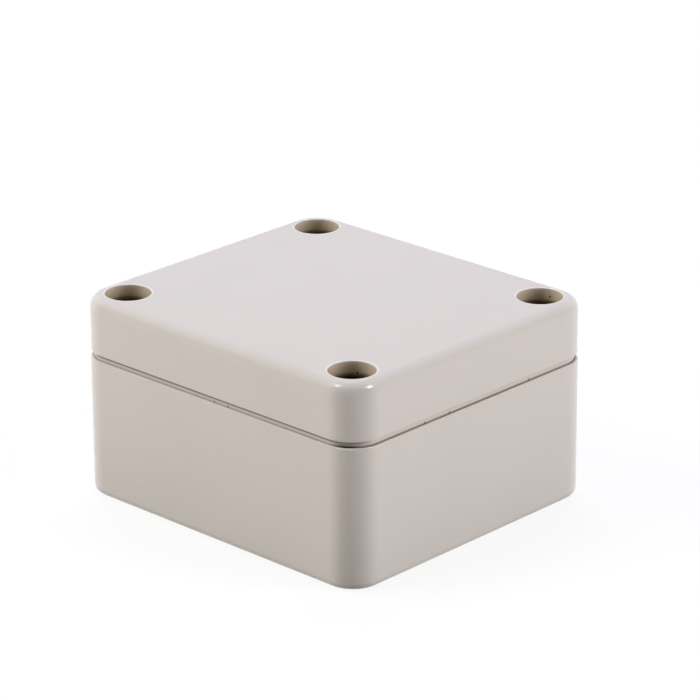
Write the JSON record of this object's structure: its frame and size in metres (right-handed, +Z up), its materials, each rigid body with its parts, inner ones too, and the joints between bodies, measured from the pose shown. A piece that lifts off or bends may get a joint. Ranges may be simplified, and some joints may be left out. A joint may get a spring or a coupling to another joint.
{
  "type": "junction box",
  "caption": "Small sealed electrical box: rounded plastic base and flat gasketed lid, held shut by screws sunk in deep wells at the lid's corners.",
  "frame": {"origin": "centre of the box's underside, on the surface it stands on", "axes": "+X along the longer side, +Y along the shorter side, +Z up through the lid"},
  "size_m": [0.063, 0.057, 0.035],
  "materials": {
    "housing": "smooth semi-gloss moulded plastic, pale warm grey",
    "seal": "matt dark seal strip",
    "insert": "turned brass",
    "screw": "plain zinc-plated steel"
  },
  "bodies": {
    "base": {"base": "housing", "threaded_inserts": "insert"},
    "lid": {"lid": "housing", "gasket": "seal"},
    "screw_front_left": {"lid_screw_front_left": "screw"},
    "screw_front_right": {"lid_screw_front_right": "screw"},
    "screw_back_left": {"lid_screw_back_left": "screw"},
    "screw_back_right": {"lid_screw_back_right": "screw"}
  },
  "joints": [
    {"name": "lid_lift", "type": "slide", "parent": "base", "child": "lid", "axis": [0, 0, 1], "range_m": [0, 0.04]},
    {"name": "undo_front_left", "type": "slide", "parent": "lid", "child": "screw_front_left", "axis": [0, 0, 1], "range_m": [0, 0.022]},
    {"name": "undo_front_right", "type": "slide", "parent": "lid", "child": "screw_front_right", "axis": [0, 0, 1], "range_m": [0, 0.022]},
    {"name": "undo_back_left", "type": "slide", "parent": "lid", "child": "screw_back_left", "axis": [0, 0, 1], "range_m": [0, 0.022]},
    {"name": "undo_back_right", "type": "slide", "parent": "lid", "child": "screw_back_right", "axis": [0, 0, 1], "range_m": [0, 0.022]}
  ]
}
